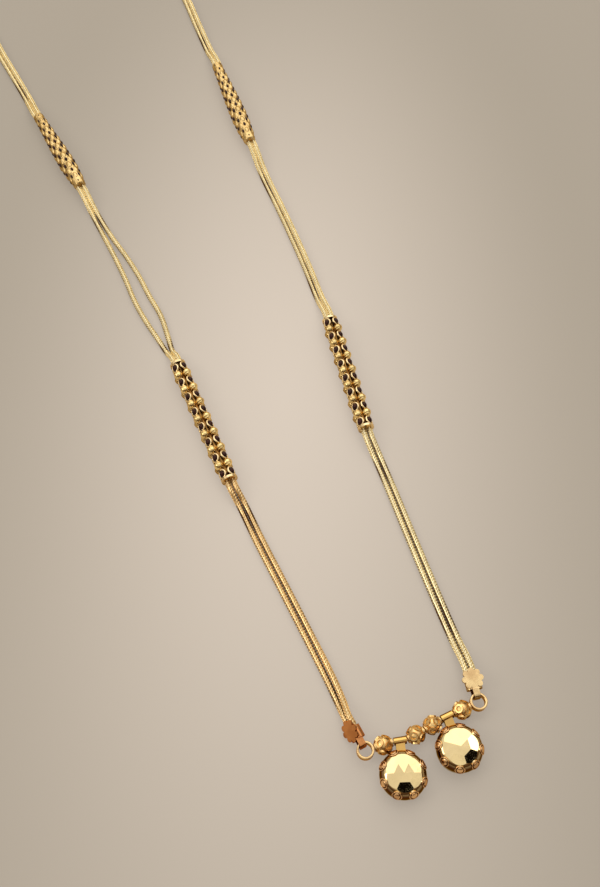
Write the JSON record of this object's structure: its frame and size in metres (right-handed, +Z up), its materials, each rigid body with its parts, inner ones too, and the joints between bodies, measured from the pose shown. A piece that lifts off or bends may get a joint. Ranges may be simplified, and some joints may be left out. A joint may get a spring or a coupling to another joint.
{
  "type": "mangalsutra necklace",
  "caption": "Long two-strand gold necklace with domed cup pendants on a carved bead bar and black and gold bead tubes, lying in a whole loop.",
  "frame": {"origin": "on the resting surface, under the middle of the whole loop's bounding box", "axes": "+Y from the pendants towards the clasp, +Z up from the surface, +X to the wearer's left as the cups face up"},
  "size_m": [0.084, 0.3645, 0.006],
  "materials": {
    "polished_gold": "polished yellow gold",
    "carved_gold": "diamond-cut yellow gold",
    "chain_gold": "bright woven gold chain",
    "wire_gold": "bright gold wire",
    "black_bead": "polished black glass"
  },
  "bodies": {
    "root": {"vati_left": "polished_gold", "vati_right": "polished_gold", "bead_1": "carved_gold", "bead_2": "carved_gold", "bead_3": "carved_gold", "bead_4": "carved_gold", "bar_wire": "polished_gold", "flower_cap_left": "polished_gold", "flower_cap_right": "polished_gold", "left_outer_lower_strand": "chain_gold", "left_inner_lower_strand": "chain_gold", "right_inner_lower_strand": "chain_gold", "right_outer_lower_strand": "chain_gold", "left_outer_middle_strand": "chain_gold", "left_inner_middle_strand": "chain_gold", "right_inner_middle_strand": "chain_gold", "right_outer_middle_strand": "chain_gold", "left_outer_back_strand": "chain_gold", "left_inner_back_strand": "chain_gold", "right_inner_back_strand": "chain_gold", "right_outer_back_strand": "chain_gold", "left_tube_frame": "wire_gold", "left_black_beads": "black_bead", "left_gold_beads": "carved_gold", "right_tube_frame": "wire_gold", "right_black_beads": "black_bead", "right_gold_beads": "carved_gold", "left_upper_tube": "wire_gold", "right_upper_tube": "wire_gold", "back_cap_left": "polished_gold", "back_cap_right": "polished_gold", "clasp_hook": "polished_gold"}
  },
  "joints": []
}
